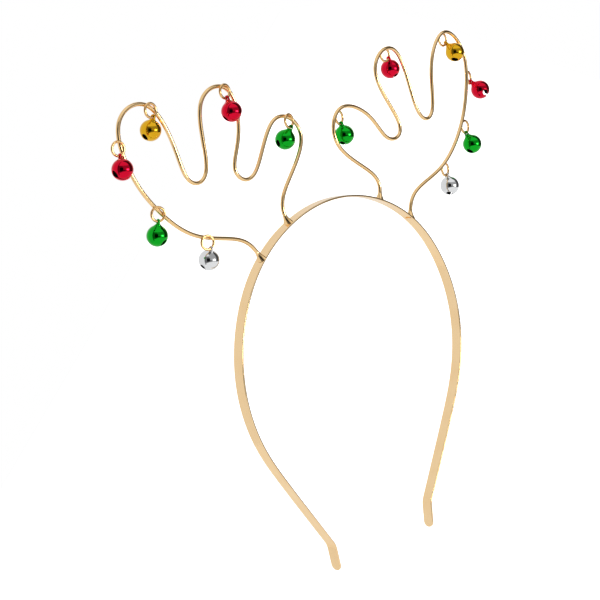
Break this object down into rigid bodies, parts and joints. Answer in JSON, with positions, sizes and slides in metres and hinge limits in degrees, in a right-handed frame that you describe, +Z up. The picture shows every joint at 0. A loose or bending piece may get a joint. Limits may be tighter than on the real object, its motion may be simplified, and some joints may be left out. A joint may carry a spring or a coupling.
{
  "type": "reindeer antler headband with jingle bells",
  "caption": "Metal hair band with two bent wire reindeer antlers and small coloured jingle bells hung on soldered rings.",
  "frame": {"origin": "top of the hair band's inner face, at the middle of the strip, where it sits on the head", "axes": "+Z up along the mirror line towards the antlers, +X to the wearer's left, which is the right of the picture, +Y to the back of the head"},
  "size_m": [0.2152, 0.0149, 0.2022],
  "materials": {
    "gold": "polished",
    "silver": "polished",
    "green": "glossy",
    "red": "glossy",
    "yellow": "glossy"
  },
  "bodies": {
    "root": {"headband_frame": "gold", "bell_left_silver": "silver", "bell_left_green": "green", "bell_left_red": "red", "bell_left_yellow": "yellow", "bell_left_tip_red": "red", "bell_left_inner_green": "green", "bell_right_silver": "silver", "bell_right_green": "green", "bell_right_red": "red", "bell_right_yellow": "yellow", "bell_right_tip_red": "red", "bell_right_inner_green": "green"}
  },
  "joints": []
}
